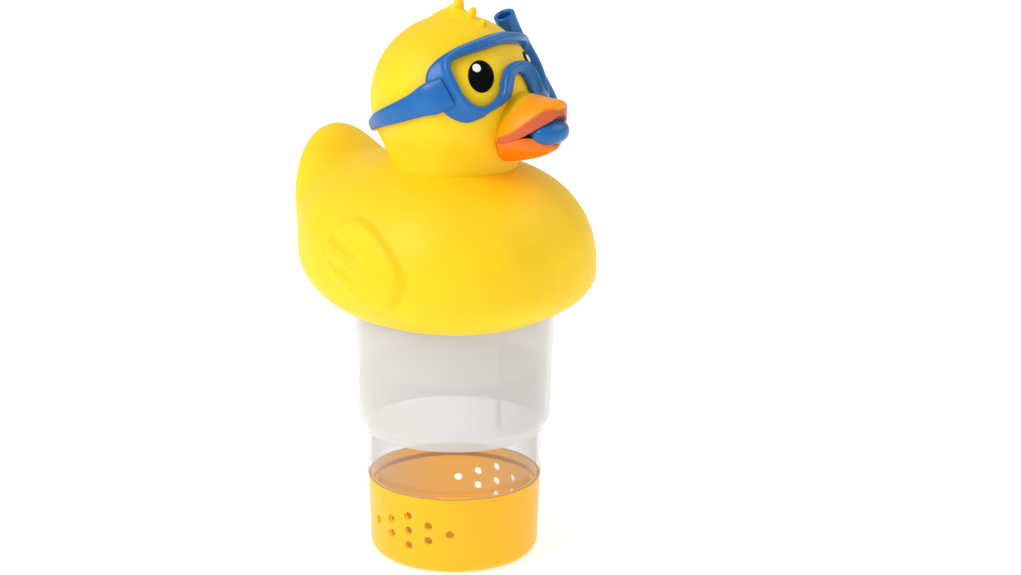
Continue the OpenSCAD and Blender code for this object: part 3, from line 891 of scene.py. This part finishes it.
def make_snorkel():
    t = np.linspace(0, len(SNORKEL_ROUTE) - 1, 90)
    path = smooth_line(SNORKEL_ROUTE, t)
    radii = SNORKEL_R - SNORKEL_TAPER * (t / t[-1]) ** 2
    outer = tube_rings(path, radii, 48)
    run = path[1] - path[0]
    ahead = run / np.linalg.norm(run)
    mouth = path[0] - ahead * 0.01
    lip = []
    for radius, sink in [(SNORKEL_BORE_R - 0.1, 8.0), (SNORKEL_BORE_R - 0.1, 1.0), (SNORKEL_BORE_R, 0.5),
                         (SNORKEL_BORE_R + 0.35, 0.08), (3.35, 0.02)]:
        lip.append(mouth + ahead * sink + (outer[0] - path[0]) * radius / radii[0])
    outer[0] = outer[0] + run * 0.45
    tube = skin("snorkel_pipe", np.concatenate([lip, outer])[:, ::-1])
    finish_piece(tube, mask_vinyl, "duck", "snorkel_tube")


def make_bulb():
    """Mouthpiece: an oval ball, slightly squared off."""
    rings = []
    for lift in np.linspace(-88, 88, 40):
        way = aim(np.linspace(0, 360, 64, endpoint=False), np.full(64, lift))
        squared = np.sign(way) * np.abs(way) ** np.array([1, 0.92, 0.95])
        rings.append(BULB_CENTRE + squared * BULB_SIZE)
    bulb = skin("snorkel_bulb", rings)
    finish_piece(bulb, mask_vinyl, "duck", "snorkel_mouthpiece")


# ---- Eyes ------------------------------------------------------------------------------

def oval(name, turn, lift, size, tilt, low, high, edge):
    """Thin domed oval that lies on the head, from one rise above it to another, with a rounded edge."""
    way = aim(np.array(turn), np.array(lift))
    right = np.array([-math.sin(math.radians(turn)), math.cos(math.radians(turn)), 0])
    up = np.cross(way, right)
    c, s = math.cos(math.radians(tilt)), math.sin(math.radians(tilt))
    a = np.linspace(0, 2 * np.pi, 72, endpoint=False)
    foot = [(0.4, low), (1.0, low)]
    dome = [(1 - edge * (1 - math.cos(k)), low + (high - low) * math.sin(k))
            for k in np.linspace(0.2, math.pi / 2, 7)]
    rings = []
    for share, rise in foot + dome + [(0.5, high), (0.08, high)]:
        x, y = share * size[0] * np.cos(a), share * size[1] * np.sin(a)
        flat = way * HEAD_R + (x * c - y * s)[:, None] * right + (x * s + y * c)[:, None] * up
        flat /= np.linalg.norm(flat, axis=1)[:, None]
        rings.append(HEAD + flat * (HEAD_R + rise))
    return skin(name, rings)


def make_eyes():
    for side, label in [(1, "left"), (-1, "right")]:
        eye = oval(f"{label}_pupil", side * EYE_TURN, EYE_LIFT, EYE_SIZE, side * EYE_TILT, -0.3, 0.45, 0.14)
        finish_piece(eye, eye_black, "duck", f"{label}_eye")
    # Both glints sit towards the duck's right of their eyes
    for turn, label in [(EYE_TURN - 1.5, "left"), (-EYE_TURN - 3, "right")]:
        spot = oval(f"{label}_shine", turn, EYE_LIFT + 5.5, (GLINT_R, GLINT_R), 0, 0.3, 0.72, 0.3)
        finish_piece(spot, eye_white, "duck", f"{label}_glint")


# ---- Camera, floor and light -----------------------------------------------------------

def look_at(obj, target):
    obj.rotation_euler = (Vector(target) - obj.location).to_track_quat("-Z", "Y").to_euler()


def make_camera():
    azimuth, lift = math.radians(CAMERA_AZIMUTH), math.radians(CAMERA_LIFT)
    back = Vector((math.sin(azimuth) * math.cos(lift), -math.cos(azimuth) * math.cos(lift), math.sin(lift)))
    target = Vector((0, 0, CAMERA_AIM_Z * MM))
    camera = bpy.data.objects.new("camera", bpy.data.cameras.new("camera"))
    camera.location = target + back * CAMERA_DISTANCE * MM
    look_at(camera, target)
    camera.data.lens = CAMERA_LENS
    camera.data.sensor_width = 36
    camera.data.shift_x, camera.data.shift_y = CAMERA_SHIFT
    bpy.context.scene.collection.objects.link(camera)
    bpy.context.scene.camera = camera


def area_light(name, place, size, power):
    """Round light that points at the middle of the part. Places are in metres, power in watts."""
    light = bpy.data.lights.new(name, "AREA")
    light.shape = "DISK"
    light.size = size
    light.energy = power
    obj = bpy.data.objects.new(name, light)
    obj.location = place
    look_at(obj, (0, 0, 0.11))
    bpy.context.scene.collection.objects.link(obj)


def make_stage():
    world = bpy.data.worlds.new("studio")
    world.use_nodes = True
    world.node_tree.nodes["Background"].inputs["Color"].default_value = (1, 1, 1, 1)
    world.node_tree.nodes["Background"].inputs["Strength"].default_value = 0.62
    bpy.context.scene.world = world
    half = 6000
    corners = [(-half, -half, 0), (half, -half, 0), (half, half, 0), (-half, half, 0)]
    floor = make_mesh("floor", corners, [(0, 1, 2, 3)], smooth=False)
    pale, tree, shader = node_material("pale_floor")
    shader.inputs["Base Color"].default_value = (0.85, 0.85, 0.85, 1)
    shader.inputs["Roughness"].default_value = 0.8
    shader.inputs["Emission Color"].default_value = (1, 1, 1, 1)
    shader.inputs["Emission Strength"].default_value = 0.5
    floor.data.materials.append(pale)
    area_light("key", (-0.25, -0.75, 0.75), 0.6, 5.2)
    area_light("rim", (0.5, 0.5, 0.7), 0.6, 1.2)
    bpy.context.scene.view_settings.view_transform = "Standard"


# ---- Put together ----------------------------------------------------------------------

make_camera()
make_stage()
make_lower_chamber()
make_upper_chamber()
make_body()
make_head()
make_beak()
make_mask()
make_strap()
make_snorkel()
make_bulb()
make_eyes()
for cad_node, finish in [("flow_cup", flow_cup_painted_glow), ("ballast_cover", cup_plastic),
                         ("float_base", cup_plastic), ("ballast_disc", steel),
                         ("chamber_gasket", gasket_rubber), ("float_seal", seal_rubber)]:
    dress(cad_node, finish)
